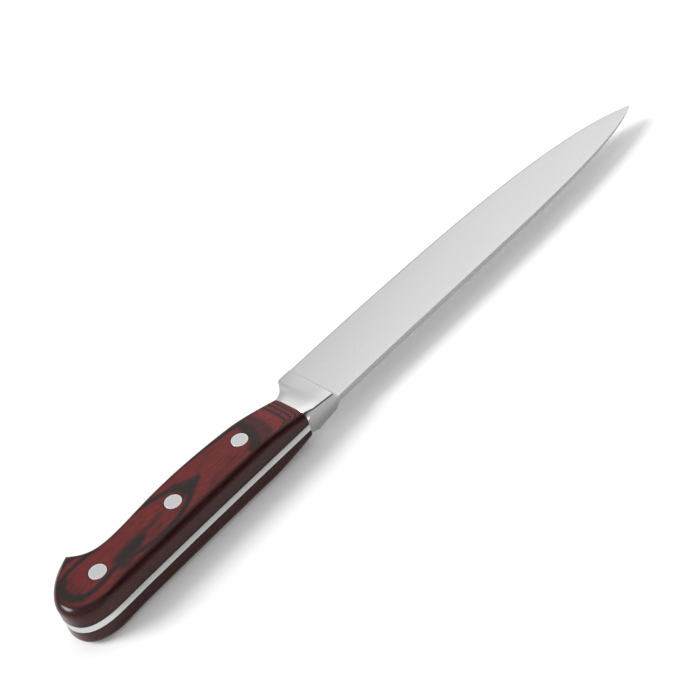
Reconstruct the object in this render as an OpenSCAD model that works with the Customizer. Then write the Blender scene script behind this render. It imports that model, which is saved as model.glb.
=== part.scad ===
// Carving knife with a forged bolster and a full tang, lying flat on its right side.
// +X runs from the handle to the tip, +Y from the spine to the cutting edge and
// +Z out of the left side. Before the last placing the outlines are drawn from the
// joint between wood and bolster: x = 0 at the joint, y = 0 just inside the back of the
// handle, z = 0 in the middle of the steel. Millimetres.

/* [Blade] */
// Length of the blade from the front of the heel to the tip
blade_length = 204; // [160:1:260]
// Width of the blade from spine to edge at the heel
blade_width = 26.8; // [24:0.2:34]
// Thickness of the spine where it leaves the bolster
spine_thickness = 2.6; // [1.8:0.1:3.2]
// Thickness of the spine close to the tip
tip_thickness = 0.6; // [0.4:0.1:1.6]
// How far the spine bows out beyond its straight line
spine_bow = 1.6; // [0:0.1:2.5]
// How far the tip lies below the line of the spine
tip_drop = 6.3; // [3:0.2:12]
// Width of the sharpened bevel along the edge
bevel_width = 0.9; // [0.5:0.1:2]
// Thickness of the blade at the top of the sharpened bevel
bevel_thickness = 0.5; // [0.3:0.05:0.8]

/* [Bolster] */
// Length of the bolster along the spine
bolster_length = 14; // [11:0.5:20]
// How much further forward the bolster reaches at the heel
bolster_rake = 3; // [1:0.25:5]
// Thickness of the bolster at its front end, at the spine
bolster_front_thickness = 8.4; // [6:0.2:10]
// Thickness of the bolster at the heel
heel_thickness = 2.6; // [1.8:0.1:3.6]
// Length of the flat foot of the heel
heel_foot = 6; // [4:0.5:8]
// How far the foot of the heel stands back from the line of the edge
heel_setback = 0.2; // [0:0.1:1]
// Length of the hollow that runs the bolster out into the blade
fillet_run = 2.8; // [1.5:0.1:4]

/* [Handle] */
// Length of the handle from the joint to the butt
handle_length = 106.2; // [100:0.2:115]
// Thickness over both scales
handle_thickness = 17.7; // [15:0.1:20]
// Thickness of the handle where it meets the bolster
joint_thickness = 12.7; // [11:0.1:14]
// Thickness of the tang
tang_thickness = 2.7; // [2:0.1:3.5]
// Depth of the handle at the joint
joint_depth = 17; // [15:0.1:18]
// Depth of the handle at the palm swell
palm_depth = 21; // [20:0.1:24]
// Distance of the palm swell from the joint
palm_place = 46; // [40:1:52]
// Depth of the handle at the waist
waist_depth = 19.2; // [18:0.1:20]
// Distance of the waist from the joint
waist_place = 77; // [72:1:80]
// Depth of the hooked beak, from the back of the handle
beak_depth = 25.4; // [23:0.1:28]
// Distance of the beak from the joint
beak_place = 91.2; // [89:0.2:95]
// How far the back of the handle swells at the butt
butt_swell = 0.55; // [0:0.05:2]
// How far the rounded long edges run in from the outline
edge_round = 1.9; // [1:0.1:2.6]
// The same for the back edge along the palm
back_round = 2.15; // [1:0.05:2.6]
// The same for the back edge where the back swells at the butt
swell_round = 1.35; // [1:0.05:2.6]
// How far the rounded long edges run down from the side
edge_drop = 2.9; // [2:0.1:3.2]

/* [Rivets] */
// Diameter of the rivet heads
head_diameter = 6.3; // [5:0.1:8]
// Thickness of the rivet heads
head_thickness = 3.6; // [2.5:0.1:4.5]
// Diameter of the hollow shank
shank_diameter = 4.8; // [4.2:0.1:5]
// Diameter of the pin that is pressed into the shank
pin_diameter = 3.1; // [2:0.1:3.6]
// Distance of the front rivet from the joint
front_rivet_place = 22.8; // [20:0.2:26]
// Distance of the middle rivet from the joint
middle_rivet_place = 55.2; // [45:0.2:65]
// Distance of the rear rivet from the joint
rear_rivet_place = 89.2; // [80:0.2:93]
// Depth of the rivet centres below the back of the handle
rivet_depth = 10; // [9:0.1:11]
// Gap between a rivet and its holes, all round
rivet_gap = 0.03; // [0.02:0.01:0.08]

/* [Hidden] */
$fn = 72;

half_handle = handle_thickness / 2;
half_joint = joint_thickness / 2;
half_tang = tang_thickness / 2;
side_crown = 0.2;
joint_crown = 0.35;
spine_rise = 0.45;
spine_y = -spine_rise;
// The sides of the handle stay flat past the front rivet, then fall to the joint.
fall_length = front_rivet_place - head_diameter / 2;
fall_power = 1.4;

arc_steps = 5;
face_steps = 8;
round_angle = 62;

function mix(a, b, t) = a + (b - a) * t;
function bezier(p, t) =
    p[0] * pow(1 - t, 3) + 3 * p[1] * t * pow(1 - t, 2)
    + 3 * p[2] * t * t * (1 - t) + p[3] * pow(t, 3);
function run(p, steps, from = 0, to = 1) =
    [for (i = [0 : steps]) bezier(p, mix(from, to, i / steps))];
function tail(list) = [for (i = [1 : len(list) - 1]) list[i]];
function reversed(list) = [for (i = [len(list) - 1 : -1 : 0]) list[i]];
function flip(p) = [p[0], p[1], -p[2]];
function highest(list, k) = max([for (p = list) p[k]]);
function lowest(list, k) = min([for (p = list) p[k]]);

// An easing arc for a rounded edge, from the flat back to the corner of the side:
// how far it has run in and how far up, both from 0 to 1.
function arc_in(k) = (1 - cos(round_angle * k)) / (1 - cos(round_angle));
function arc_up(k) = sin(round_angle * k) / sin(round_angle);

// Handle outline, as two lists of matching points from the joint to the beak.
// The back runs along the straight back, round the butt and up to the beak.
// The belly runs over the palm swell and the waist and up the inside of the beak.
butt_y = 10;
swell_place = handle_length - 13.9;
palm_rise = 0.22;
waist_rise = 0.33;
beak_tip = [-beak_place, beak_depth];

joint_to_palm = [0, -palm_place * 0.14, -palm_place * 0.58, -palm_place];
palm_to_waist = [
    -palm_place, -mix(palm_place, waist_place, 0.52),
    -mix(palm_place, waist_place, 0.71), -waist_place
];
waist_to_swell = [
    -waist_place, -mix(waist_place, swell_place, 0.33),
    -mix(waist_place, swell_place, 0.67), -swell_place
];
back_front_y = [spine_y, spine_y, -palm_rise, -palm_rise];
back_waist_y = [-palm_rise, -palm_rise, -waist_rise, -waist_rise];
back_swell_y = [-waist_rise, -waist_rise, -butt_swell, -butt_swell];
joint_y = spine_y + joint_depth;
belly_front_y = [joint_y, joint_y + 1, palm_depth, palm_depth];
belly_waist_y = [palm_depth, palm_depth, waist_depth, waist_depth];
butt_corner = [
    [-swell_place, -butt_swell], [-mix(swell_place, handle_length, 0.72), -butt_swell],
    [-handle_length, butt_y - 6.7], [-handle_length, butt_y]
];
butt_face = [
    [-handle_length, butt_y], [-handle_length, butt_y + 6],
    beak_tip + [-7.1, -1.6], beak_tip + [-0.9, -0.2]
];
beak_hollow = [
    [-waist_place, waist_depth], [-mix(waist_place, beak_place, 0.57), waist_depth - 0.1],
    beak_tip + [4.1, -3.4], beak_tip + [1.3, -0.3]
];
// The nose of the beak, half on each list, ends in a narrow flat.
back_nose = [beak_tip + [-0.5, -0.05], beak_tip + [-0.15, 0]];
belly_nose = [beak_tip + [0.7, -0.05], beak_tip + [0.15, 0]];

function paired(xs, ys) = [for (i = [0 : 3]) [xs[i], ys[i]]];
back_line = concat(
    run(paired(joint_to_palm, back_front_y), 14),
    tail(run(paired(palm_to_waist, back_waist_y), 5)),
    tail(run(paired(waist_to_swell, back_swell_y), 4)),
    tail(run(butt_corner, 9)),
    tail(run(butt_face, 8)),
    back_nose
);
belly_line = concat(
    run(paired(joint_to_palm, belly_front_y), 14),
    tail(run(paired(palm_to_waist, belly_waist_y), 5)),
    tail(run(beak_hollow, 4, 0, 0.35)),
    tail(run(beak_hollow, 9, 0.35, 0.75)),
    tail(run(beak_hollow, 8, 0.75, 1)),
    belly_nose
);
handle_stations = len(back_line);

// Half thickness of the handle at a distance from the joint.
function fallen(x) = x < -fall_length ? 0 : pow((x + fall_length) / fall_length, fall_power);
function crown_z(x) = mix(side_crown, joint_crown, fallen(x));
function corner_z(x) = mix(half_handle, half_joint, fallen(x)) - crown_z(x);
// The side rises from its corners and is flat in the middle half.
function crown_shape(q) = sin(90 * min(1, 4 * q, 4 * (1 - q)));

function unit(v) = v / norm(v);
function normal(list, i, side) =
    let (a = list[max(i - 1, 0)], b = list[min(i + 1, len(list) - 1)], d = unit(b - a))
    [-d[1], d[0]] * side;

// One section of the left scale, across the handle: the rounded edge on the back,
// the side, the rounded edge on the belly. In the narrow beak the two rounded edges
// meet before they have come all the way up.
full_width = 9;
swell_reach = 5.5;
// How far the rounded edge of the back runs in at a point of the outline.
function back_run(p) =
    p[1] > butt_y
    ? mix(back_round, edge_round, min(1, (p[1] - butt_y) / 8))
    : mix(
        mix(edge_round, back_round, min(1, -p[0] / palm_place)), swell_round,
        exp(-pow((p[0] + swell_place + 0.7) / swell_reach, 2)));
function edge_point(p, inward, k, run_in) =
    let (q = p + inward * run_in * arc_in(k))
    [q[0], q[1], corner_z(q[0]) - edge_drop * (1 - arc_up(k))];
function arc_reach(room) = acos(1 - min(1, room / edge_round) * (1 - cos(round_angle))) / round_angle;
function section_of_scale(i) =
    let (
        a = back_line[i], c = belly_line[i],
        width = norm(c - a),
        wide = min(1, width / full_width),
        reach = arc_reach(width * 0.45),
        to_belly = unit(c - a),
        back_in = unit(mix(to_belly, i == 0 ? [0, 1] : normal(back_line, i, -1), wide)),
        belly_in = unit(mix(-to_belly, i == 0 ? [0, -1] : normal(belly_line, i, 1), wide)),
        run_in = back_run(a),
        back_arc = [for (k = [0 : arc_steps]) edge_point(a, back_in, reach * k / arc_steps, run_in)],
        belly_arc = [for (k = [arc_steps : -1 : 0])
            edge_point(c, belly_in, reach * k / arc_steps, edge_round)]
    )
    concat(
        [[a[0], a[1], half_tang]],
        back_arc,
        [for (k = [1 : face_steps - 1])
            let (q = k / face_steps, p = mix(back_arc[arc_steps], belly_arc[0], q))
            p + [0, 0, crown_z(p[0]) * wide * crown_shape(q)]],
        belly_arc,
        [[c[0], c[1], half_tang]]
    );

// A closed skin over rings of equal length. The far end is a flat cap, or one point.
module skin(rings, tip = undef) {
    n = len(rings[0]);
    last_start = (len(rings) - 1) * n;
    points = [for (ring = rings) each ring];
    sides = [
        for (start = [0 : n : last_start - n]) for (j = [0 : n - 1])
            let (a = start + j, b = start + (j + 1) % n)
            each [[a, b, b + n], [a, b + n, a + n]]
    ];
    near_cap = concat([0], [for (j = [n - 1 : -1 : 1]) j]);
    far_cap = [for (j = [0 : n - 1]) last_start + j];
    far_fan = [for (j = [0 : n - 1])
        [last_start + j, last_start + (j + 1) % n, last_start + n]];
    if (is_undef(tip)) {
        polyhedron(points = points, faces = concat([near_cap], sides, [far_cap]));
    } else {
        polyhedron(points = concat(points, [tip]), faces = concat([near_cap], sides, far_fan));
    }
}

// Bolster and blade are one skin over stations from the joint to the tip. A station is
// a list of: the point on the spine, the point on the foot (belly or cutting edge),
// the side (height next to the spine, height next to the foot, crown, and how late it
// falls from one to the other), the rounded edge of the spine (run in, drop, bow of the
// spine face) and that of the foot (run in, drop, how round it is, how far the last
// point stands out).
heel_y = spine_y + blade_width - heel_setback;
front_x = bolster_length + bolster_rake;
heel_back_x = front_x - heel_foot;
groove = [
    [0, joint_y], [heel_back_x * 0.5, mix(joint_y, heel_y, 0.25)],
    [heel_back_x * 0.59, mix(joint_y, heel_y, 0.51)], [heel_back_x - 1.1, heel_y - 1.1]
];
heel_corner = [
    [heel_back_x - 1.1, heel_y - 1.1], [heel_back_x - 0.7, heel_y - 0.6],
    [heel_back_x - 0.2, heel_y], [heel_back_x + 0.7, heel_y]
];
ridge_softness = 0.5;
bolster_foot = concat(
    run(groove, 9),
    tail(run(heel_corner, 4)),
    [[mix(heel_back_x, front_x, 0.55), heel_y], [front_x - ridge_softness, heel_y]]
);
corner_run = 4;
function bolster_station(foot) =
    let (
        t = foot[0] / front_x,
        sharp = min(1, t * bolster_length / corner_run),
        low = (foot[1] - joint_y) / (heel_y - joint_y)
    )
    [
        [t * bolster_length, spine_y],
        foot,
        [
            mix(half_joint, bolster_front_thickness / 2, t) - mix(joint_crown, side_crown, t),
            mix(half_joint, heel_thickness / 2, mix(t, 1, low * low)) - mix(joint_crown, 0.1, low),
            mix(joint_crown, side_crown, t),
            1
        ],
        [mix(edge_round, 0.45, sharp), mix(edge_drop, 0.6, sharp), 0.3 * sharp],
        [mix(edge_round, 0.7, low), mix(edge_drop, 0.9, low), 1, 0]
    ];

blade_start = front_x + 1;
tip_x = blade_start + blade_length;
tip_y = spine_y + tip_drop;
edge_y = spine_y + blade_width;
spine_curve = [
    [blade_start, spine_y], [mix(blade_start, tip_x, 0.4), spine_y - 0.11 * spine_bow],
    [mix(blade_start, tip_x, 0.846), spine_y - 3.78 * spine_bow], [tip_x, tip_y]
];
edge_curve = [
    [blade_start, edge_y], [mix(blade_start, tip_x, 0.57), edge_y + 0.33],
    [mix(blade_start, tip_x, 0.866), mix(edge_y, tip_y, 0.28)], [tip_x, tip_y]
];
taper_power = 2;
// The faces are ground slightly convex: level at the spine, steeper toward the edge.
grind_power = 1.7;
point_length = 7;
function blade_station(t) =
    let (
        spine = bezier(spine_curve, t),
        foot = bezier(edge_curve, t),
        thin = min(1, (foot[1] - spine[1]) / point_length),
        half_spine = mix(spine_thickness, tip_thickness, pow(t, taper_power)) / 2 * thin,
        half_bevel = bevel_thickness / 2 * thin
    )
    [
        spine,
        foot,
        [half_spine, half_bevel, 0.02 * thin, grind_power],
        [0.25 * thin, 0.2 * thin, 0],
        [bevel_width * thin, half_bevel * 0.85, 0, bevel_width * thin * 0.15]
    ];

// The bolster falls to the blade in a hollow, steep at first and then running out.
ridge = bolster_station([front_x, heel_y]);
root = blade_station(0);
hollow_power = 2.3;
function hollow_station(w) =
    let (s = root + (ridge - root) * pow(1 - w, hollow_power))
    [
        [mix(bolster_length, bolster_length + fillet_run, w), s[0][1]],
        [mix(front_x, blade_start, w), s[1][1]],
        s[2], s[3], s[4]
    ];

// A point of a station at a distance from its spine, and at a height.
function across(s, inset, z) =
    let (v = inset / (s[1][1] - s[0][1]))
    [mix(s[0][0], s[1][0], v), s[0][1] + inset, z];

back_steps = 2;
function left_half(s) =
    let (side = s[2], back = s[3], under = s[4], depth = s[1][1] - s[0][1])
    concat(
        [for (k = [1 : back_steps - 1])
            let (q = k / back_steps)
            across(s, back[2] * q * q, (side[0] - back[1]) * q)],
        [for (k = [0 : arc_steps])
            let (q = k / arc_steps)
            across(s, mix(back[2], back[0], arc_in(q)), side[0] - back[1] * (1 - arc_up(q)))],
        [for (k = [1 : face_steps - 1])
            let (q = k / face_steps)
            across(s, mix(back[0], depth - under[0], q),
                mix(side[0], side[1], pow(q, side[3])) + side[2] * crown_shape(q))],
        [for (k = [arc_steps : -1 : 0])
            let (q = k / arc_steps, in = mix(q, arc_in(q), under[2]), up = mix(q, arc_up(q), under[2]))
            across(s, depth - mix(under[3], under[0], in), side[1] - under[1] * (1 - up))]
    );
function ring(s) =
    let (left = left_half(s))
    concat(
        [across(s, s[1][1] - s[0][1], 0)], [for (p = reversed(left)) flip(p)],
        [across(s, 0, 0)], left
    );

blade_steps = 34;
last_step = 0.992;
hollow_steps = 8;
module forged_body() {
    bolster = [for (foot = bolster_foot) ring(bolster_station(foot))];
    hollow = [for (k = [0 : hollow_steps - 1]) ring(hollow_station(k / hollow_steps))];
    blade = [for (k = [0 : blade_steps]) ring(blade_station(last_step * k / blade_steps))];
    skin(concat(bolster, hollow, blade), [tip_x, tip_y, 0]);
}

module rivet_places() {
    for (place = [front_rivet_place, middle_rivet_place, rear_rivet_place])
        translate([-place, rivet_depth, 0]) children();
}

// The tang has the outline of the handle and a tab that runs into the bolster.
tab_length = 3;
module tang() {
    tab = [
        [0, joint_y - 1.5], [tab_length, joint_y - 1.5],
        [tab_length, spine_y + 1.5], [0, spine_y + 1.5]
    ];
    translate([0, 0, -half_tang])
        linear_extrude(tang_thickness)
            polygon(concat(back_line, reversed(belly_line), tab));
}

module forging_in_place() {
    difference() {
        union() {
            forged_body();
            tang();
        }
        rivet_places() cylinder(h = 2 * tang_thickness, d = shank_diameter + 2 * rivet_gap,
            center = true);
    }
}

// Left scale with its stepped holes: shank hole right through, head hole from outside.
head_floor = half_handle - head_thickness;
module scale_in_place() {
    difference() {
        skin([for (i = [handle_stations - 1 : -1 : 0]) section_of_scale(i)]);
        rivet_places() {
            cylinder(h = handle_thickness, d = shank_diameter + 2 * rivet_gap);
            translate([0, 0, head_floor])
                cylinder(h = handle_thickness, d = head_diameter + 2 * rivet_gap);
        }
    }
}

// Rivet halves. The sleeve's head is in the left side, the post's in the right.
bore_roof = 1.8;
shank_end = -head_floor + 0.4;
pin_end = half_handle - bore_roof - 0.5;
module sleeve(place) {
    translate([-place, rivet_depth, 0])
        difference() {
            union() {
                translate([0, 0, head_floor])
                    cylinder(h = head_thickness, d = head_diameter);
                translate([0, 0, shank_end])
                    cylinder(h = head_floor - shank_end, d = shank_diameter);
            }
            translate([0, 0, shank_end])
                cylinder(h = half_handle - bore_roof - shank_end, d = pin_diameter + 2 * rivet_gap);
        }
}
module post(place) {
    translate([-place, rivet_depth, 0]) {
        translate([0, 0, -half_handle])
            cylinder(h = head_thickness, d = head_diameter);
        translate([0, 0, -head_floor])
            cylinder(h = pin_end + head_floor, d = pin_diameter);
    }
}

// The origin is under the middle of the whole knife, on the surface it lies on.
blade_outline = [for (k = [0 : blade_steps]) each [
    bezier(edge_curve, last_step * k / blade_steps),
    bezier(spine_curve, last_step * k / blade_steps)
]];
outline = concat(back_line, belly_line, blade_outline, [[tip_x, tip_y]]);
middle_x = (highest(outline, 0) + lowest(outline, 0)) / 2;
middle_y = (highest(outline, 1) + lowest(outline, 1)) / 2;
module place_in_frame() {
    translate([-middle_x, -middle_y, half_handle]) children();
}

module blade_forging() { color("gainsboro") place_in_frame() forging_in_place(); }
module left_scale() { color("brown") place_in_frame() scale_in_place(); }
module right_scale() { color("brown") place_in_frame() mirror([0, 0, 1]) scale_in_place(); }
module rivet_sleeve(place) { color("silver") place_in_frame() sleeve(place); }
module rivet_post(place) { color("silver") place_in_frame() post(place); }

blade_forging();
left_scale();
right_scale();
rivet_sleeve(front_rivet_place);  // front_rivet_sleeve
rivet_post(front_rivet_place);  // front_rivet_post
rivet_sleeve(middle_rivet_place);  // middle_rivet_sleeve
rivet_post(middle_rivet_place);  // middle_rivet_post
rivet_sleeve(rear_rivet_place);  // rear_rivet_sleeve
rivet_post(rear_rivet_place);  // rear_rivet_post
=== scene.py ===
import math

import bmesh
import bpy
import numpy as np
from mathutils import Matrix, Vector


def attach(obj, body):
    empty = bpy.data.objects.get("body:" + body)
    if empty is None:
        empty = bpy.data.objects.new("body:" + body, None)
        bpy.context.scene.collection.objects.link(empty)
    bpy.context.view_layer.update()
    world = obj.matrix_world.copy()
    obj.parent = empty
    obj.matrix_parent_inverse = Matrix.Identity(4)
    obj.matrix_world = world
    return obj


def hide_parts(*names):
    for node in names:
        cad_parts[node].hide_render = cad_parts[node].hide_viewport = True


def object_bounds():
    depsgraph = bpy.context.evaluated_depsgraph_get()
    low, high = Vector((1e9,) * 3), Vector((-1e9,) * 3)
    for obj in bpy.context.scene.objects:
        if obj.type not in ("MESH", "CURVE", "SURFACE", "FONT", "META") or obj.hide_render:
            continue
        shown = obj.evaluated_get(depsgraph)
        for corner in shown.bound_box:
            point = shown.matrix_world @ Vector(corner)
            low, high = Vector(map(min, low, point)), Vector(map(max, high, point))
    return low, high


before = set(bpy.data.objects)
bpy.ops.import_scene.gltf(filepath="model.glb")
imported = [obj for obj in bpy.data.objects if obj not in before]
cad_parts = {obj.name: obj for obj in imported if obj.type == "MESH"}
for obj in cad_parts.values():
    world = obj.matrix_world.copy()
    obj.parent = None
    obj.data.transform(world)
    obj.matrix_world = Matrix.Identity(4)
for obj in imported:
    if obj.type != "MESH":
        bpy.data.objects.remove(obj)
cad_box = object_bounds()


# ---------------------------------------------------------------- blade, bolster and tang
# One steel forging. The bolster is buffed, the blade is ground flat on both sides with a
# narrow honed bevel, and the tang is a plate with three holes that carries the handle.

# Sizes are in millimetres from the joint of wood and bolster, as the maker draws them: x runs
# to the tip, y from the back to the edge, and z out of the left side, from the tang's middle.
mm = 0.001

# Side view: the back, the joint's low end, the heel and the edge; then where the bolster's
# ridge meets the back and the heel, and where the blade starts.
spine_y, joint_y, heel_y, edge_y = -0.45, 16.55, 26.15, 26.35
bolster_length, front_x, blade_start = 14.0, 17.0, 18.0
butt, beak, tip = (-106.2, 10), (-91.2, 25.4), (222.0, 5.85)
rivet_spots = {"front": (-22.8, 10.0), "middle": (-55.2, 10.0), "rear": (-89.2, 10.0)}
shank_hole_radius = 2.43

# Half the thickness of the tang and the handle, and of the bolster at the joint, at the front
# and at the heel; then how far the sides swell between their edges.
half_tang, half_handle = 1.35, 8.85
half_joint, half_front, half_heel = 6.35, 4.2, 1.3
side_crown, joint_crown, heel_crown = 0.2, 0.35, 0.1

# Thickness of the blade's back at the bolster and at the point, and the honed bevel.
back_thickness = (2.6, 0.6)
bevel_width, half_bevel = 0.9, 0.25

# The rounded edges of the handle: how far they run in and down, and the angle they turn by.
arris_in, arris_down, arris_turn = 1.9, 2.9, math.radians(62)

# The frame's origin lies under the middle of the knife, on the table.
middle = Vector(((butt[0] + tip[0]) / 2, 12.2009, -half_handle))


def mix(a, b, t):
    return a + (b - a) * t


def curve_point(c, t):
    """The point at t of the cubic curve from c[0] to c[3], drawn toward c[1] and c[2]."""
    k = ((1 - t) ** 3, 3 * t * (1 - t) ** 2, 3 * t * t * (1 - t), t**3)
    return tuple(sum(w * p[i] for w, p in zip(k, c)) for i in (0, 1))


def curve_run(c, steps, start=0.0, stop=1.0):
    return [curve_point(c, mix(start, stop, i / steps)) for i in range(steps + 1)]


def eased_in(k):
    """How far a rounded edge has run in, from 0 at the flat back to 1 at the side."""
    return (1 - math.cos(arris_turn * k)) / (1 - math.cos(arris_turn))


def eased_up(k):
    """How far a rounded edge has risen, on the same terms."""
    return math.sin(arris_turn * k) / math.sin(arris_turn)


def crown_shape(q):
    """Swell of a side across its width: it rises near both edges and is flat between them."""
    return math.sin(math.pi / 2 * min(1, 4 * q, 4 * (1 - q)))


def handle_outline(fine):
    """The back and the belly of the handle, as matching points from the joint to the beak."""
    front = [(0, spine_y), (-6.44, spine_y), (-26.68, -0.22), (-46, -0.22)]
    waist = [(-46, -0.22), (-62.12, -0.22), (-68.01, -0.33), (-77, -0.33)]
    swell = [(-77, -0.33), (-82.05, -0.33), (-87.25, -0.55), (-92.3, -0.55)]
    corner = [(-92.3, -0.55), (-102.308, -0.55), (butt[0], 3.3), butt]
    end = [butt, (butt[0], 16), (-98.3, 23.8), (-92.1, 25.2)]
    back = curve_run(front, 14 * fine)
    for curve, steps in ((waist, 5), (swell, 4), (corner, 9), (end, 8)):
        back += curve_run(curve, steps * fine)[1:]
    back += [(beak[0] - 0.5, beak[1] - 0.05), (beak[0] - 0.15, beak[1])]
    front = [(0, joint_y), (-6.44, joint_y + 1), (-26.68, 21), (-46, 21)]
    waist = [(-46, 21), (-62.12, 21), (-68.01, 19.2), (-77, 19.2)]
    hollow = [(-77, 19.2), (-85.094, 19.1), (-87.1, 22), (-89.9, 25.1)]
    belly = curve_run(front, 14 * fine) + curve_run(waist, 5 * fine)[1:]
    for start, stop, steps in ((0, 0.35, 4), (0.35, 0.75, 9), (0.75, 1, 8)):
        belly += curve_run(hollow, steps * fine, start, stop)[1:]
    belly += [(beak[0] + 0.7, beak[1] - 0.05), (beak[0] + 0.15, beak[1])]
    return back, belly


# A station is: point on the spine, point on the foot, side (height at the spine, height at the
# foot, crown, how late it falls from one to the other), rounding of the spine (in, down, bow,
# roundness), rounding of the foot (in, down, roundness, stand-out of the last point).
def bolster_station(foot, tuck=0.0):
    """The bolster's arrises get sharper from the joint to the blade and down to the heel."""
    t = foot[0] / front_x
    sharp = min(1, t * bolster_length / 4)
    low = (foot[1] - joint_y) / (heel_y - joint_y)
    crown = mix(joint_crown, side_crown, t)
    top = mix(half_joint, half_front, t) - crown - tuck
    half_foot = mix(half_joint, half_heel, mix(t, 1, low * low))
    bottom = half_foot - mix(joint_crown, heel_crown, low) - tuck
    roundness = mix(0.8, 0.3, min(1, t * 12))
    return (
        (t * bolster_length, spine_y + tuck),
        (foot[0], foot[1] - tuck),
        (top, bottom, crown, 1),
        (mix(arris_in, 0.8, sharp), mix(arris_down, 0.55, sharp), 0.3 * sharp, roundness),
        (mix(arris_in, 0.7, low), mix(arris_down, 0.9, low), 1, 0),
    )


blade_back = [(blade_start, spine_y), (99.6, -0.626), (190.584, -6.498), tip]
blade_edge = [(blade_start, edge_y), (134.28, 26.68), (194.664, 20.61), tip]


def blade_station(t):
    """The blade gets thinner to the point, and all its sizes shrink in its last, narrow part."""
    spine, foot = curve_point(blade_back, t), curve_point(blade_edge, t)
    thin = min(1, (foot[1] - spine[1]) / 7)
    half_spine = mix(*back_thickness, t * t) / 2 * thin
    bevel = half_bevel * thin
    return (
        spine,
        foot,
        (half_spine, bevel, 0.02 * thin, 1.7),
        (0.25 * thin, 0.2 * thin, 0, 1),
        (bevel_width * thin, bevel * 0.85, 0, 0.135 * thin),
    )


def blend_stations(a, b, t):
    return tuple(tuple(mix(p, q, t) for p, q in zip(u, v)) for u, v in zip(a, b))


def across(s, inset, z):
    """A point of a station at a distance from its spine and at a height."""
    v = inset / (s[1][1] - s[0][1])
    return (mix(s[0][0], s[1][0], v), s[0][1] + inset, z)


back_steps, round_steps, side_steps = 4, 8, 18


def station_ring(s):
    """A closed ring of points round a station: the foot, the right half, the spine, the left."""
    side, back, under, depth = s[2], s[3], s[4], s[1][1] - s[0][1]
    half = []
    for k in range(1, back_steps):
        q = k / back_steps
        half.append(across(s, back[2] * q * q, (side[0] - back[1]) * q))
    for k in range(round_steps + 1):
        q = k / round_steps
        inset, up = mix(q, eased_in(q), back[3]), mix(q, eased_up(q), back[3])
        half.append(across(s, mix(back[2], back[0], inset), side[0] - back[1] * (1 - up)))
    for k in range(1, side_steps):
        q = k / side_steps
        height = mix(side[0], side[1], q ** side[3]) + side[2] * crown_shape(q)
        half.append(across(s, mix(back[0], depth - under[0], q), height))
    for k in range(round_steps, -1, -1):
        q = k / round_steps
        inset, up = mix(q, eased_in(q), under[2]), mix(q, eased_up(q), under[2])
        height = side[1] - under[1] * (1 - up)
        half.append(across(s, depth - mix(under[3], under[0], inset), height))
    mirrored = [(x, y, -z) for x, y, z in reversed(half)]
    return [across(s, depth, 0)] + mirrored + [across(s, 0, 0)] + half


# The foot of the bolster is a hollow groove for the finger, the heel's corner and the heel. The
# bolster starts with a fine bevel at the joint.
groove = [(0, joint_y), (5.5, 18.95), (6.49, 21.446), (9.9, 25.05)]
heel_corner = [groove[-1], (10.3, 25.55), (10.8, heel_y), (11.7, heel_y)]
heel_x, heel_steps = heel_corner[-1][0], 8
bolster_feet = curve_run(groove, 30) + curve_run(heel_corner, 10)[1:]
for k in range(heel_steps):
    bolster_feet.append((mix(heel_x, front_x - 0.5, (k + 1) / heel_steps), heel_y))
stations = [bolster_station((0, joint_y), tuck=0.06), bolster_station((0.1, joint_y + 0.04))]
stations += [bolster_station(foot) for foot in bolster_feet if foot[0] > 0.2]

# A short hollow step leads down from the bolster's ridge to the blade, which runs to its point.
step_rings, blade_rings, last_ring = 16, 110, 0.998
step_length = 2.8
ridge, root = bolster_station((front_x, heel_y)), blade_station(0)
for k in range(step_rings):
    w = k / step_rings
    s = blend_stations(root, ridge, (1 - w) ** 2.3)
    spine = (mix(bolster_length, bolster_length + step_length, w), s[0][1])
    stations.append((spine, (mix(front_x, blade_start, w), s[1][1])) + s[2:])
ridge_ring = len(stations) - step_rings
blade_ring = len(stations)
stations += [blade_station(last_ring * k / blade_rings) for k in range(blade_rings + 1)]


def new_piece(name, bm, materials, crease=35):
    """A piece from maker's millimetres, smooth apart from creases and changes of finish."""
    for v in bm.verts:
        v.co = (v.co - middle) * mm
        v.co = [min(max(c, lo), hi) for c, lo, hi in zip(v.co, *cad_box)]
    bm.normal_update()
    for f in bm.faces:
        f.smooth = True
    for e in bm.edges:
        finish_changes = len({f.material_index for f in e.link_faces}) > 1
        bent = len(e.link_faces) == 2 and e.calc_face_angle(0) > math.radians(crease)
        e.smooth = not (finish_changes or bent)
    mesh = bpy.data.meshes.new(name)
    bm.to_mesh(mesh)
    bm.free()
    piece = bpy.data.objects.new(name, mesh)
    bpy.context.collection.objects.link(piece)
    for material in materials:
        mesh.materials.append(material)
    return piece


def loft(bm, rings, finish_of, point=None):
    """Skin over rings of equal length: flat at the near end, a point or flat at the far end."""
    rows = [[bm.verts.new(p) for p in ring] for ring in rings]
    n = len(rings[0])
    for i in range(len(rows) - 1):
        for j in range(n):
            corners = (rows[i][j], rows[i][(j + 1) % n], rows[i + 1][(j + 1) % n], rows[i + 1][j])
            bm.faces.new(corners).material_index = finish_of(i, j)
    bm.faces.new(rows[0][::-1]).material_index = finish_of(0, 0)
    if point is None:
        bm.faces.new(rows[-1]).material_index = finish_of(0, 0)
    else:
        end = bm.verts.new(point)
        for j in range(n):
            far = bm.faces.new((rows[-1][j], rows[-1][(j + 1) % n], end))
            far.material_index = finish_of(len(rows) - 2, j)


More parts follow.
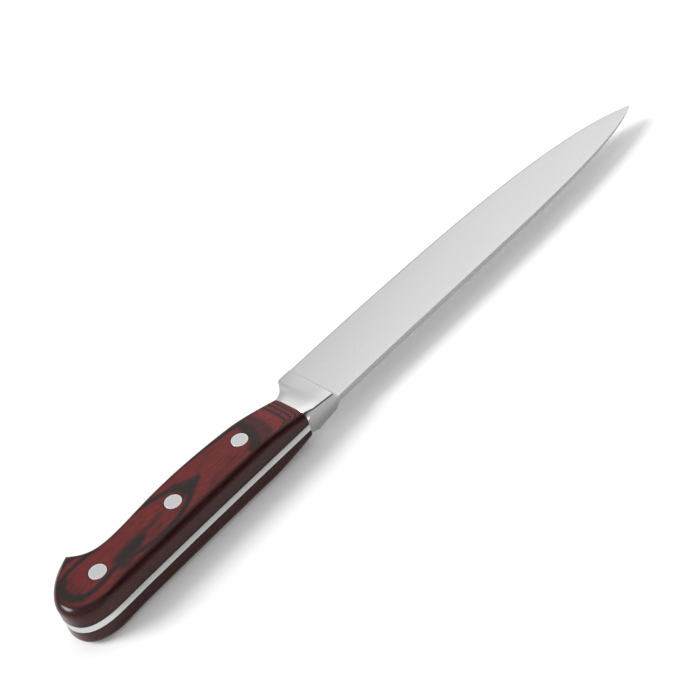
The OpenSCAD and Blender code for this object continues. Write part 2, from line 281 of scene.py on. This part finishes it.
def turned(bm, profile, spot, sides=96, finish=0, highlight_bands=()):
    """A lathe-turned solid from (radius, height) points that start and end on its axis.
    It has one finish, apart from the bands of the profile given last, which have the next: a
    brighter steel that carries a painted highlight."""
    ends = [bm.verts.new((*spot, profile[k][1])) for k in (0, -1)]
    turns = [2 * math.pi * k / sides for k in range(sides)]
    rows = []
    for r, z in profile[1:-1]:
        circle = [(spot[0] + r * math.cos(a), spot[1] + r * math.sin(a), z) for a in turns]
        rows.append([bm.verts.new(p) for p in circle])
    for k in range(sides):
        m = (k + 1) % sides
        made = [bm.faces.new((ends[0], rows[0][m], rows[0][k]))]
        made += [bm.faces.new((p[k], p[m], q[m], q[k])) for p, q in zip(rows, rows[1:])]
        made.append(bm.faces.new((rows[-1][k], rows[-1][m], ends[1])))
        for band, f in enumerate(made):
            f.material_index = finish + 1 if band in highlight_bands else finish


def joined(bm, tool, how):
    """The solid in bm after the solid in tool is added to it or cut out of it."""
    holders = []
    for part in (bm, tool):
        bmesh.ops.recalc_face_normals(part, faces=part.faces)
        mesh = bpy.data.meshes.new("work")
        part.to_mesh(mesh)
        part.free()
        holders.append(bpy.data.objects.new("work", mesh))
        bpy.context.collection.objects.link(holders[-1])
    change = holders[0].modifiers.new("change", "BOOLEAN")
    change.operation, change.object, change.solver = how, holders[1], "EXACT"
    result = bmesh.new()
    result.from_object(holders[0], bpy.context.evaluated_depsgraph_get())
    for holder in holders:
        mesh = holder.data
        bpy.data.objects.remove(holder)
        bpy.data.meshes.remove(mesh)
    return result


def node(tree, kind, settings=(), **inputs):
    """A shader node. An input is a value or another node's output; _ in its name is a space."""
    n = tree.nodes.new("ShaderNode" + kind)
    for key, value in dict(settings).items():
        setattr(n, key, value)
    for key, value in inputs.items():
        slot = n.inputs[int(key[1:])] if key[1:].isdigit() else n.inputs[key.replace("_", " ")]
        if isinstance(value, bpy.types.NodeSocket):
            tree.links.new(value, slot)
        else:
            slot.default_value = value
    return n


def math_node(tree, operation, a, b=0.0, c=0.0):
    return node(tree, "Math", {"operation": operation}, i0=a, i1=b, i2=c).outputs[0]


def vector_math(tree, operation, a, **inputs):
    return node(tree, "VectorMath", {"operation": operation}, i0=a, **inputs).outputs[0]


def effect_group(name, inputs, outputs):
    """An empty shader node group: its tree, the values given to it and the sockets it puts out.
    The inputs' values are their defaults."""
    tree = bpy.data.node_groups.new(name, "ShaderNodeTree")
    for key, value in inputs.items():
        kind = "NodeSocketVector" if isinstance(value, tuple) else "NodeSocketFloat"
        tree.interface.new_socket(key, in_out="INPUT", socket_type=kind).default_value = value
    for key, kind in outputs.items():
        tree.interface.new_socket(key, in_out="OUTPUT", socket_type="NodeSocket" + kind)
    return tree, tree.nodes.new("NodeGroupInput").outputs, tree.nodes.new("NodeGroupOutput").inputs


def use_group(tree, group, **inputs):
    """The outputs of a node group that is placed with its own values."""
    return node(tree, "Group", {"node_tree": group}, **inputs).outputs


def new_material(name):
    """A material with its node tree, its shader and the place on the mesh in millimetres."""
    material = bpy.data.materials.new(name)
    material.use_nodes = True
    tree = material.node_tree
    tree.nodes.clear()
    shader = node(tree, "BsdfPrincipled")
    tree.links.new(shader.outputs[0], node(tree, "OutputMaterial").inputs[0])
    spot = node(tree, "TexCoord").outputs["Object"]
    return material, tree, shader, vector_math(tree, "SCALE", spot, Scale=1 / mm)


# Grinding marks: fine parallel hairlines in the direction in which Stretch is small, broken up
# by a slow change of tone, as a belt or a buffing wheel leaves them.
grinding, given, out = effect_group(
    "grinding marks",
    {
        "Position": (0.0, 0.0, 0.0),
        "Stretch": (0.1, 4.0, 4.0),
        "Tone change": 0.06,
        "Roughness": 0.3,
    },
    {"Tone": "Float", "Roughness": "Float", "Height": "Float"},
)
stretched = vector_math(grinding, "MULTIPLY", given["Position"], i1=given["Stretch"])
hairlines = node(grinding, "TexNoise", Vector=stretched, Scale=1.0, Detail=3.0, Roughness=0.6)
clouds = node(grinding, "TexNoise", Vector=given["Position"], Scale=0.06, Detail=2.0)
hair = math_node(grinding, "SUBTRACT", hairlines.outputs["Fac"], 0.5)
drift = math_node(grinding, "SUBTRACT", clouds.outputs["Fac"], 0.5)
both = math_node(grinding, "MULTIPLY_ADD", drift, 0.5, hair)
tone = math_node(grinding, "MULTIPLY_ADD", both, given["Tone change"], 1.0)
rough = math_node(grinding, "MULTIPLY_ADD", both, 0.12, given["Roughness"])
grinding.links.new(tone, out["Tone"])
grinding.links.new(rough, out["Roughness"])
grinding.links.new(hairlines.outputs["Fac"], out["Height"])


def steel(name, colour, roughness, stretch, tone, depth):
    """Bare steel with grinding marks; depth is the height of the marks in millimetres."""
    material, tree, shader, position = new_material(name)
    marks = use_group(
        tree, grinding, Position=position, Stretch=stretch, Tone_change=tone, Roughness=roughness
    )
    base = vector_math(tree, "SCALE", colour, Scale=marks["Tone"])
    bump = node(tree, "Bump", Height=marks["Height"], Strength=1.0, Distance=depth * mm)
    tree.links.new(base, shader.inputs["Base Color"])
    tree.links.new(marks["Roughness"], shader.inputs["Roughness"])
    tree.links.new(bump.outputs[0], shader.inputs["Normal"])
    shader.inputs["Metallic"].default_value = 1.0
    return material


GROUND, BUFFED, SHADED_SPINE, HONED, TANG = range(5)
# The back (spine face) of bolster and blade has a much darker steel colour than the sides: its
# satin grinding marks are real, its darkness is painted shade.
forging_steels = [
    steel("ground_blade_steel", (0.71, 0.71, 0.71), 0.28, (1.6, 0.09, 0.09), 0.035, 0.0006),
    steel("buffed_bolster_steel", (0.84, 0.84, 0.84), 0.2, (0.3, 3.0, 0.8), 0.03, 0.0005),
    steel("satin_spine_steel_painted_shade", (0.39, 0.39, 0.39), 0.28, (0.12, 5.0, 5.0), 0.1, 0.0012),
    steel("honed_edge_steel", (0.86, 0.86, 0.87), 0.25, (6.0, 0.2, 0.2), 0.08, 0.002),
    steel("satin_tang_steel", (0.63, 0.63, 0.625), 0.28, (0.12, 5.0, 5.0), 0.1, 0.0012),
]


def forging_finish(i, j):
    """The finish past ring i at its point j, by how far the point lies from the spine."""
    half = (back_steps - 1) + (round_steps + 1) + (side_steps - 1) + (round_steps + 1)
    along = j - (half + 2) if j > half else half - 1 - j
    # Points on the back get the darker steel, whose darkness is painted shade.
    if along < back_steps - 1:
        return SHADED_SPINE
    if i < ridge_ring:
        return BUFFED
    if i >= blade_ring and along >= half - round_steps - 1:
        return HONED
    return GROUND


forged = bmesh.new()
loft(forged, [station_ring(s) for s in stations], forging_finish, point=(*tip, 0))

# The tang follows the handle's outline and reaches into the bolster, which it is one with. Its
# edge is buffed over the scales, so it is a little crowned: a level is its height and how far
# the edge is drawn in there.
back_line, belly_line = handle_outline(4)
tab_x, low_y, high_y = 3, joint_y - 1.5, spine_y + 1.5
tab = [(0, low_y), (tab_x, low_y), (tab_x, high_y), (0, high_y)]
loop = back_line + belly_line[::-1] + tab
tang = bmesh.new()
levels = [(-half_tang, 0.07), (-1.05, 0.015), (-0.5, 0)]
levels += [(-z, tuck) for z, tuck in reversed(levels)]
rings = []
for z, tuck in levels:
    ring = []
    for k, p in enumerate(loop):
        a, b = Vector(loop[k - 1]), Vector(loop[(k + 1) % len(loop)])
        along = (b - a).normalized()
        ring.append((p[0] + along.y * -tuck, p[1] + along.x * tuck, z))
    rings.append(ring[::-1])
loft(tang, rings, lambda i, j: TANG)
forged = joined(forged, tang, "UNION")
for spot in rivet_spots.values():
    drill = bmesh.new()
    r, z = shank_hole_radius, 4
    turned(drill, [(0, -z), (r, -z), (r, z), (0, z)], spot, finish=TANG)
    forged = joined(forged, drill, "DIFFERENCE")
blade_piece = new_piece("blade_bolster_and_tang", forged, forging_steels)
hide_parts("blade_forging")
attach(blade_piece, "root")


# ---------------------------------------------------------------- handle scales
# Two halves of red and near-black laminated wood, sawn from a pressed block whose dyed layers
# lie parallel to the tang. Shaping and buffing cut through the layers, which draws the figure.
# Each half is glued to the tang, butts against the bolster and is polished all over.

# The side falls toward the bolster over a length, slowly at first. The back's rounded edge is
# widest along the waist and narrowest at the butt. Each rivet head sits on a step in its hole.
fall_length, fall_power = 19.65, 1.4
wide_arris, butt_arris = 2.15, 1.35
head_hole_radius, head_floor = 3.18, 5.25
arris_steps, face_steps = 10, 40


def fallen(x):
    """How far the side has fallen, from 0 along the handle to 1 at the joint."""
    return 0 if x < -fall_length else ((x + fall_length) / fall_length) ** fall_power


def crown_at(x):
    return mix(side_crown, joint_crown, fallen(x))


def corner_at(x):
    """Height at which the rounded edges meet the side."""
    return mix(half_handle, half_joint, fallen(x)) - crown_at(x)


def outline_normal(line, i, side):
    """The direction into the wood, square to an outline at its point i."""
    a, b = line[max(i - 1, 0)], line[min(i + 1, len(line) - 1)]
    d = Vector((b[0] - a[0], b[1] - a[1])).normalized()
    return Vector((-d.y, d.x)) * side


def back_rounding(p):
    """How far the rounded edge runs in from the back: less where the back swells at the butt."""
    if p[1] > butt[1]:
        return mix(wide_arris, arris_in, min(1, (p[1] - butt[1]) / 8))
    along = mix(arris_in, wide_arris, min(1, -p[0] / 46))
    return mix(along, butt_arris, math.exp(-(((p[0] + 93) / 5.5) ** 2)))


def scale_ring(i, back, belly, tuck=0.0):
    """The left scale's section at point i of both outlines, from the tang up and over."""
    a, c = Vector(back[i]), Vector(belly[i])
    width = (c - a).length
    wide = min(1, width / 9)
    to_belly = (c - a).normalized()
    straight = i == 0
    back_normal = Vector((0, 1)) if straight else outline_normal(back, i, -1)
    belly_normal = Vector((0, -1)) if straight else outline_normal(belly, i, 1)
    back_in = mix(to_belly, back_normal, wide).normalized()
    belly_in = mix(-to_belly, belly_normal, wide).normalized()
    room = min(1, width * 0.45 / arris_in)
    reach = math.acos(1 - room * (1 - math.cos(arris_turn))) / arris_turn

    def rounded(p, inward, k, run_in):
        q = p + inward * (run_in * eased_in(reach * k / arris_steps) + tuck)
        up = eased_up(reach * k / arris_steps)
        return (q.x, q.y, corner_at(q.x) - arris_down * (1 - up) - tuck)

    back_arc = [rounded(a, back_in, k, back_rounding(a)) for k in range(arris_steps + 1)]
    belly_arc = [rounded(c, belly_in, k, arris_in) for k in range(arris_steps, -1, -1)]
    face = []
    for k in range(1, face_steps):
        q = k / face_steps
        p = Vector(back_arc[-1]).lerp(Vector(belly_arc[0]), q)
        p.z += crown_at(p.x) * wide * crown_shape(q)
        face.append(tuple(p))
    foot = [(*(a + back_in * tuck), half_tang), (*(c + belly_in * tuck), half_tang)]
    return [foot[0]] + back_arc + face + belly_arc + [foot[1]]


# Figure of the wood: strokes along which the pressed layers were pushed up before the block was
# sawn, so that the dark layer shows. A stroke is its points (x, y), half width and strength.
left_strokes = [
    ([(-83, 17.8), (-87, 18.3), (-91, 18.6), (-95, 18.4), (-98.5, 17.5), (-100.5, 16)], 0.75, 1),
    ([(-98.5, 17), (-101, 14.5), (-101.6, 11.5), (-101, 8.5), (-99, 6.6)], 1.5, 1),
    ([(-99.5, 6.2), (-95, 5.2), (-90, 5.1), (-86, 5.9), (-82, 5.9)], 0.85, 1),
    ([(-82, 6), (-78.5, 7), (-75, 7.4)], 2.5, 1),
    ([(-80, 6.5), (-76, 8.6), (-71.5, 8)], 1.6, 0.85),
    ([(-79, 5), (-75, 3.7), (-70, 2.9), (-64, 2.8), (-59, 3.3), (-55, 4.4), (-51, 5.9)], 0.75, 1),
    ([(-72, 9.5), (-66, 9), (-61, 10)], 1.2, 0.45),
    ([(-70, 5.5), (-64, 6.2)], 0.9, 0.4),
    ([(-97.5, 21.6), (-94, 22.2), (-89, 22)], 0.75, 1),
    ([(-52, 5.7), (-49.5, 7), (-47, 8.6), (-43.4, 10.3)], 0.95, 1),
    ([(-66, 18.7), (-60, 17.4), (-56, 16), (-52.5, 14.8), (-49.5, 12.5)], 0.85, 1),
    ([(-50.5, 13.8), (-49, 11), (-47.5, 9.5)], 1.7, 1),
    ([(-49, 14), (-45.5, 12.2), (-42, 11)], 0.9, 0.5),
    ([(-22.5, 2.6), (-20.3, 4.2), (-18.4, 7), (-17.4, 10.5), (-17.2, 15)], 1.9, 1),
    ([(-17.2, 15), (-20.5, 16.4), (-27, 17.5), (-35, 18.6), (-43, 19.4), (-53, 19.8)], 0.75, 1),
    ([(-14, 4), (-12.5, 9), (-13, 14.5)], 1.5, 0.5),
    ([(-42, 4.2), (-36, 4.6), (-30, 5.8)], 1.4, 0.3),
    ([(-38, 14), (-31, 15.2)], 0.9, 0.26),
    ([(-97, 16), (-99, 12.5), (-98, 9)], 2.2, 0.34),
    ([(-49.5, 9.5), (-46, 10.6)], 2.0, 0.9),
]
right_strokes = [
    ([(-98, 4), (-103, 9), (-100, 16), (-91, 18), (-80, 17)], 1.2, 1),
    ([(-86, 9), (-78, 7), (-68, 8.5)], 1.8, 1),
    ([(-68, 8.5), (-60, 5), (-48, 3.6)], 0.8, 1),
    ([(-64, 15), (-54, 12), (-46, 13)], 1.3, 1),
    ([(-46, 13), (-40, 11), (-34, 11.5)], 0.8, 0.9),
    ([(-30, 17.5), (-24, 14), (-19, 8), (-17.5, 2)], 1.6, 1),
    ([(-97, 11), (-93, 14)], 1.2, 0.4),
    ([(-42, 6), (-34, 7.5), (-28, 6)], 1.1, 0.45),
]


def distance_to_stroke(x, y, points):
    """Distance of each of the points (x, y) from the line through a stroke's points."""
    best = np.full(x.shape, 1e9)
    for (ax, ay), (bx, by) in zip(points, points[1:]):
        dx, dy = bx - ax, by - ay
        t = np.clip(((x - ax) * dx + (y - ay) * dy) / (dx * dx + dy * dy), 0, 1)
        best = np.minimum(best, np.hypot(x - ax - t * dx, y - ay - t * dy))
    return best


def pushed_up(x, y, strokes):
    """How far the dark layer is pushed up to the side face, from 0 to 1."""
    push = np.zeros(x.shape)
    for points, half_width, strength in strokes:
        near = distance_to_stroke(x, y, points) / half_width
        push = np.maximum(push, np.exp(-0.7 * near**2) * strength)
    return push


# Fine grain in four parts: long thin streaks of fibre, slanting flecks, short open pores, and
# a slow wander that makes the layers' borders uneven. Each is drawn from a stretched noise.
fibres, given, out = effect_group(
    "wood fibres",
    {"Position": (0.0, 0.0, 0.0)},
    {"Streak": "Float", "Fleck": "Float", "Pore": "Float", "Wander": "Float"},
)
for socket, stretch, slant, detail, low, high in (
    ("Streak", (0.05, 2.6, 2.6), 0, 4.0, 0.3, 0.7),
    ("Fleck", (0.3, 2.2, 2.2), 14, 4.0, 0.34, 0.66),
    ("Pore", (0.32, 6.5, 6.5), 0, 2.0, 0.62, 0.72),
    ("Wander", (0.09, 0.5, 0.5), 0, 4.0, 0.3, 0.7),
):
    turned_to = node(fibres, "VectorRotate", {"rotation_type": "Z_AXIS"}, Vector=given["Position"])
    turned_to.inputs["Angle"].default_value = math.radians(slant)
    moved = vector_math(fibres, "MULTIPLY", turned_to.outputs[0], i1=stretch)
    noise = node(fibres, "TexNoise", Vector=moved, Scale=1.0, Detail=detail, Roughness=0.6)
    spread = node(fibres, "MapRange", Value=noise.outputs["Fac"], From_Min=low, From_Max=high)
    fibres.links.new(spread.outputs[0], out[socket])


def ramp(tree, value, stops):
    """A ramp of colours or greys over a value, from (value, colour) stops."""
    n = node(tree, "ValToRGB", i0=value)
    elements = n.color_ramp.elements
    while len(elements) < len(stops):
        elements.new(0.5)
    for element, (place, colour) in zip(elements, stops):
        element.position = place
        element.color = (*colour, 1) if isinstance(colour, tuple) else (colour, colour, colour, 1)
    return n.outputs[0]


def colour_mix(tree, share, a, b):
    return node(tree, "Mix", {"data_type": "RGBA"}, i0=share, i6=a, i7=b).outputs[2]


# The pressed layers, as (depth in millimetres, colour): those that the side cuts as it falls
# toward the bolster, and those that the back and the belly cut from the side to the tang. The
# back's and belly's colours are much darker than the same layers on the side: partly the layers,
# partly painted shade.
soot = (0.016, 0.010, 0.009)
dark_red = (0.060, 0.010, 0.010)
red = (0.125, 0.0130, 0.0130)
bright_red = (0.165, 0.016, 0.015)
face_layers = [
    (0.0, red), (0.12, dark_red), (0.55, dark_red), (0.75, red), (1.20, bright_red), (1.40, red),
    (1.44, soot), (1.55, soot), (1.60, red), (1.76, red), (1.79, soot), (1.89, soot), (1.93, red),
    (2.10, red), (2.13, soot), (2.22, soot), (2.26, red), (2.60, dark_red),
]
shaded_wall_layers = [
    (0.0, (0.024, 0.006, 0.006)), (0.14, (0.018, 0.005, 0.005)), (0.30, (0.042, 0.008, 0.008)),
    (0.42, (0.024, 0.007, 0.007)), (0.56, (0.018, 0.005, 0.005)), (0.80, (0.036, 0.010, 0.010)),
    (1.5, (0.042, 0.007, 0.007)), (2.1, (0.052, 0.003, 0.003)), (2.6, (0.040, 0.002, 0.002)),
    (3.6, (0.040, 0.002, 0.002)), (4.3, (0.068, 0.003, 0.003)), (4.8, (0.050, 0.002, 0.002)),
    (5.5, (0.125, 0.004, 0.004)), (6.1, (0.120, 0.004, 0.004)), (6.6, (0.085, 0.003, 0.003)),
    (7.3, (0.045, 0.002, 0.002)),
]
deepest_on_face, deepest_on_wall = 3.0, 8.0
laminated_wood, tree, shader, position = new_material("red_laminated_wood")
grain = use_group(tree, fibres, Position=position)
drop = node(tree, "Attribute", {"attribute_name": "drop"}).outputs["Fac"]
push = node(tree, "Attribute", {"attribute_name": "push"}).outputs["Fac"]
streak = math_node(tree, "SUBTRACT", grain["Streak"], 0.5)
fleck = math_node(tree, "SUBTRACT", grain["Fleck"], 0.5)
wander = math_node(tree, "SUBTRACT", grain["Wander"], 0.5)
wander = math_node(tree, "MULTIPLY_ADD", streak, 0.6, wander)

# Toward the bolster the side falls, which cuts ever deeper layers. Near the back they turn
# toward the butt, by less and less as they get closer to the joint.
turn_depth, turn_from, turn_width = 1.1, 1.5, 1.15
drawn = vector_math(tree, "ADD", position, i1=tuple(middle))
spot = node(tree, "SeparateXYZ", i0=drawn).outputs
fall = node(tree, "MapRange", Value=spot["X"], From_Min=-fall_length, From_Max=0.0).outputs[0]
fall = math_node(tree, "POWER", fall, fall_power)
from_back = math_node(tree, "MAXIMUM", spot["Y"], 0.8)
turn = math_node(tree, "MULTIPLY_ADD", from_back, -1 / turn_width, turn_from / turn_width)
turn = math_node(tree, "MULTIPLY", math_node(tree, "EXPONENT", turn), turn_depth)
near_joint = node(
    tree, "MapRange", Value=spot["X"], From_Min=-8.5, From_Max=-2.5, To_Min=1.0, To_Max=0.2
)
turn = math_node(tree, "MULTIPLY", turn, near_joint.outputs[0])
begun = math_node(tree, "MINIMUM", math_node(tree, "MULTIPLY", fall, 8.0), 1.0)
turn = math_node(tree, "MULTIPLY", turn, begun)
uneven = math_node(tree, "MULTIPLY_ADD", wander, 0.09, turn)
cut = math_node(tree, "MULTIPLY_ADD", fall, half_handle - half_joint, uneven)
stops = [(depth / deepest_on_face, colour) for depth, colour in face_layers]
on_face = ramp(tree, math_node(tree, "DIVIDE", cut, deepest_on_face), stops)

# Where the dark layer is pushed up it shows in two steps, dark red round near-black.
ragged = math_node(tree, "MULTIPLY_ADD", fleck, 0.7, wander)
push = math_node(tree, "MULTIPLY", push, math_node(tree, "MULTIPLY_ADD", ragged, 0.6, 1.0))
for low, high, colour in ((0.06, 0.5, dark_red), (0.25, 0.85, soot)):
    shown = node(tree, "MapRange", {"interpolation_type": "SMOOTHSTEP"}, i0=push, i1=low, i2=high)
    on_face = colour_mix(tree, shown.outputs[0], on_face, (*colour, 1))
# The back and the belly take the darker wall colours, which carry painted shade as well as the
# layers.
cut = math_node(tree, "MULTIPLY_ADD", wander, 0.5, drop)
stops = [(depth / deepest_on_wall, colour) for depth, colour in shaded_wall_layers]
on_shaded_wall = ramp(tree, math_node(tree, "DIVIDE", cut, deepest_on_wall), stops)
past_edge = node(tree, "MapRange", Value=drop, From_Min=-0.08, From_Max=-0.005).outputs[0]
layers = colour_mix(tree, past_edge, on_face, on_shaded_wall)

# Streaks and flecks vary the wood's tone, pores darken it, and its edge at tang and rivets is
# dark: partly a glue line, partly painted shade in the narrow gaps there.
shade = math_node(tree, "MULTIPLY_ADD", grain["Fleck"], 0.62, 0.5)
shade = math_node(tree, "MULTIPLY_ADD", grain["Streak"], 0.4, shade)
pores = math_node(tree, "MULTIPLY_ADD", grain["Pore"], -0.45, 1.0)
shade = math_node(tree, "MULTIPLY", shade, pores)
streaked = vector_math(tree, "SCALE", layers, Scale=shade)
glue_line_and_shade = node(tree, "Attribute", {"attribute_name": "glue_line_and_shade"}).outputs["Fac"]
darkened = colour_mix(tree, glue_line_and_shade, streaked, (0.006, 0.004, 0.004, 1))
tree.links.new(darkened, shader.inputs["Base Color"])
rough = math_node(tree, "MULTIPLY_ADD", grain["Streak"], 0.08, 0.15)
rough = math_node(tree, "MULTIPLY_ADD", grain["Pore"], 0.15, rough)
tree.links.new(rough, shader.inputs["Roughness"])
relief = math_node(tree, "MULTIPLY_ADD", grain["Pore"], -1.0, grain["Streak"])
bump = node(tree, "Bump", Height=relief, Strength=0.6, Distance=0.006 * mm)
tree.links.new(bump.outputs[0], shader.inputs["Normal"])
shader.inputs["IOR"].default_value = 1.34

# The end toward the bolster has a fine bevel, and the right scale mirrors the left one. Three
# values are painted on the wood: how far the dark layer is pushed up, how far a spot lies below
# the side, and how close it is to a rivet or the tang, where the wood is darkened as a glue line
# and as painted shade.
end_bevel, glue_and_shade_round_rivet, glue_and_shade_along_tang = 0.08, 0.3, 0.25
fine_back, fine_belly = handle_outline(5)
for name, side, strokes in (("left_scale", 1, left_strokes), ("right_scale", -1, right_strokes)):
    rings = [scale_ring(i, fine_back, fine_belly) for i in range(len(fine_back) - 1, 0, -1)]
    end_ring = scale_ring(0, fine_back, fine_belly)
    rings.append([(min(x, -end_bevel), y, z) for x, y, z in end_ring])
    rings.append(scale_ring(0, fine_back, fine_belly, tuck=0.07))
    wood = bmesh.new()
    loft(wood, rings, lambda i, j: 0)
    for spot in rivet_spots.values():
        s, h, clear = shank_hole_radius, head_hole_radius, 12
        stepped = [(0, 0), (s, 0), (s, head_floor), (h, head_floor), (h, clear), (0, clear)]
        bore = bmesh.new()
        turned(bore, stepped, spot)
        wood = joined(wood, bore, "DIFFERENCE")
    if side < 0:
        bmesh.ops.scale(wood, vec=(1, 1, -1), verts=wood.verts)
        bmesh.ops.reverse_faces(wood, faces=wood.faces)
    scale_piece = new_piece(name + "_wood", wood, [laminated_wood])
    spots = np.array([v.co for v in scale_piece.data.vertices]) / mm + np.array(middle)
    x, y, height = spots[:, 0], spots[:, 1], spots[:, 2] * side
    to_centre = np.min([np.hypot(x - a, y - b) for a, b in rivet_spots.values()], axis=0)
    near_rivet = 1 - (to_centre - head_hole_radius) / glue_and_shade_round_rivet
    near_tang = 1 - (height - half_tang) / glue_and_shade_along_tang
    painted = {
        "push": pushed_up(x, y, strokes),
        "drop": np.array([corner_at(v) for v in x]) - height,
        "glue_line_and_shade": np.clip(np.maximum(near_rivet, near_tang), 0, 1),
    }
    for key, values in painted.items():
        scale_piece.data.attributes.new(key, "FLOAT", "POINT").data.foreach_set("value", values)
    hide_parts(name)
    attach(scale_piece, "root")


# ---------------------------------------------------------------- rivets
# Three compression rivets. A headed sleeve goes in from the left and a headed post is pressed
# into it from the right; both heads are then ground flush with the wood.
head_radius, rim, painted_highlight_from = 3.15, 0.07, 2.78
shank_radius, sleeve_end = 2.4, 4.85
bore_radius, bore_end = 1.58, 7.05
post_radius, post_end = 1.55, 6.55
sleeve_highlight_bands, post_highlight_bands = (6, 7), (1, 2)
# The second steel, on each head's outer band and chamfer, is brighter: partly a burnished rim,
# partly a painted highlight.
rivet_steels = [
    steel("ground_rivet_steel", (0.68, 0.68, 0.68), 0.3, (0.5, 5.0, 0.5), 0.16, 0.0008),
    steel("burnished_rim_steel_painted_highlight", (0.82, 0.82, 0.82), 0.24, (0.5, 5.0, 0.5), 0.06, 0.0004),
]
head = [(head_radius, head_floor), (head_radius, half_handle - rim)]
head += [(head_radius - rim, half_handle), (painted_highlight_from, half_handle), (0, half_handle)]
sleeve = [(0, bore_end), (bore_radius, bore_end), (bore_radius, -sleeve_end)]
sleeve += [(shank_radius, -sleeve_end), (shank_radius, head_floor)] + head
post = [(r, -z) for r, z in reversed(head)]
post += [(post_radius, -head_floor), (post_radius, post_end), (0, post_end)]
for place, spot in rivet_spots.items():
    for half, profile, highlight_bands in (("sleeve", sleeve, sleeve_highlight_bands), ("post", post, post_highlight_bands)):
        lathe = bmesh.new()
        turned(lathe, profile, spot, highlight_bands=highlight_bands)
        bmesh.ops.recalc_face_normals(lathe, faces=lathe.faces)
        rivet = new_piece(f"{place}_{half}", lathe, rivet_steels)
        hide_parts(f"{place}_rivet_{half}")
        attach(rivet, "root")


# ---------------------------------------------------------------- floor and light
# A plain white table that keeps a soft shadow, in a white studio with a soft lamp behind the
# butt. A dark round card past the tip, on the side of the handle's back, is what the polished
# arrises show as a dark line.
floor_size, floor_gap = 8, 0.05 * mm
corners = [(x * floor_size, y * floor_size, 0) for x, y in ((-1, -1), (1, -1), (1, 1), (-1, 1))]
floor_mesh = bpy.data.meshes.new("floor")
floor_mesh.from_pydata(corners, [], [(0, 1, 2, 3)])
floor = bpy.data.objects.new("floor", floor_mesh)
floor.location.z = -floor_gap
bpy.context.collection.objects.link(floor)
table_white, tree, shader, _ = new_material("white_table")
shader.inputs["Base Color"].default_value = (0.9, 0.9, 0.9, 1)
shader.inputs["Roughness"].default_value = 0.9
shader.inputs["Specular IOR Level"].default_value = 0.0
shader.inputs["Emission Color"].default_value = (1, 1, 1, 1)
rays = node(tree, "LightPath").outputs
seen = math_node(tree, "MAXIMUM", rays["Is Camera Ray"], rays["Is Glossy Ray"])
seen = math_node(tree, "MAXIMUM", seen, rays["Is Transmission Ray"])
tree.links.new(math_node(tree, "MULTIPLY", seen, 0.13), shader.inputs["Emission Strength"])
floor_mesh.materials.append(table_white)

# The sky's brightness changes with height, from the side of the handle's back to the side of
# the edge, and from butt to tip, and the card darkens a round part of it. Its lowest strip is
# white, and so is all that the camera sees of it.
world = bpy.data.worlds.new("studio")
bpy.context.scene.world = world
world.use_nodes = True
tree = world.node_tree
tree.nodes.clear()
direction = node(tree, "TexCoord").outputs["Generated"]
parts = node(tree, "SeparateXYZ", i0=direction).outputs
rise = [(0.0, 1.0), (0.03, 1.0), (0.06, 0.5), (0.14, 0.6), (0.25, 0.76), (0.37, 0.92)]
rise += [(0.49, 1.0), (0.6, 1.1), (0.8, 1.1), (0.9, 1.04), (1.0, 1.04)]
near_to_far = [(0.0, 0.7), (0.3, 0.66), (0.42, 0.68), (0.5, 0.8), (0.57, 1.0), (0.8, 1.0)]
near_to_far += [(0.85, 0.8), (0.88, 0.7), (1.0, 0.66)]
butt_to_tip = [(0.0, 0.8), (0.54, 0.8), (0.825, 1.0), (0.9, 1.05), (1.0, 1.05)]
strength = ramp(tree, parts["Z"], rise)
for axis, stops in (("Y", near_to_far), ("X", butt_to_tip)):
    across_sky = math_node(tree, "MULTIPLY_ADD", parts[axis], 0.5, 0.5)
    strength = math_node(tree, "MULTIPLY", strength, ramp(tree, across_sky, stops))
card_towards = (0.41, -0.61, 0.68)
toward_card = node(tree, "VectorMath", {"operation": "DOT_PRODUCT"}, i0=direction, i1=card_towards)
card = [(0.0, 1.0), (0.88, 1.0), (0.94, 0.06), (1.0, 0.06)]
strength = math_node(tree, "MULTIPLY", strength, ramp(tree, toward_card.outputs["Value"], card))
lowest = ramp(tree, parts["Z"], [(0.0, 1.0), (0.03, 1.0), (0.06, 0.0)])
to_camera = node(tree, "LightPath").outputs["Is Camera Ray"]
white = math_node(tree, "MAXIMUM", lowest, to_camera)
strength = math_node(tree, "MAXIMUM", strength, white)
sky = node(tree, "Background", Color=(1, 1, 1, 1), Strength=strength)
tree.links.new(sky.outputs[0], node(tree, "OutputWorld").inputs[0])

lamp = bpy.data.lights.new("soft_lamp", "SUN")
lamp.angle = math.radians(26)
lamp.energy = 2.45
lamp_holder = bpy.data.objects.new("soft_lamp", lamp)
lamp_holder.location = (-1.0, 0.75, 1.0)
lamp_holder.rotation_mode = "QUATERNION"
lamp_holder.rotation_quaternion = lamp_holder.location.to_track_quat("Z", "Y")
bpy.context.collection.objects.link(lamp_holder)


# ---------------------------------------------------------------- camera
# The photograph's view: from above the handle's back, looking along the knife to the tip. It
# was solved from the circles of the three rivets and the straight strip of the tang.
camera = bpy.data.cameras.new("camera")
camera.sensor_width = 36
camera.lens = 63.566
camera_holder = bpy.data.objects.new("camera", camera)
camera_holder.location = (-0.24006, -0.27082, 0.31372)
camera_holder.rotation_euler = [math.radians(angle) for angle in (47.909, 11.337, -49.032)]
bpy.context.collection.objects.link(camera_holder)
bpy.context.scene.camera = camera_holder
bpy.context.scene.view_settings.view_transform = "Standard"
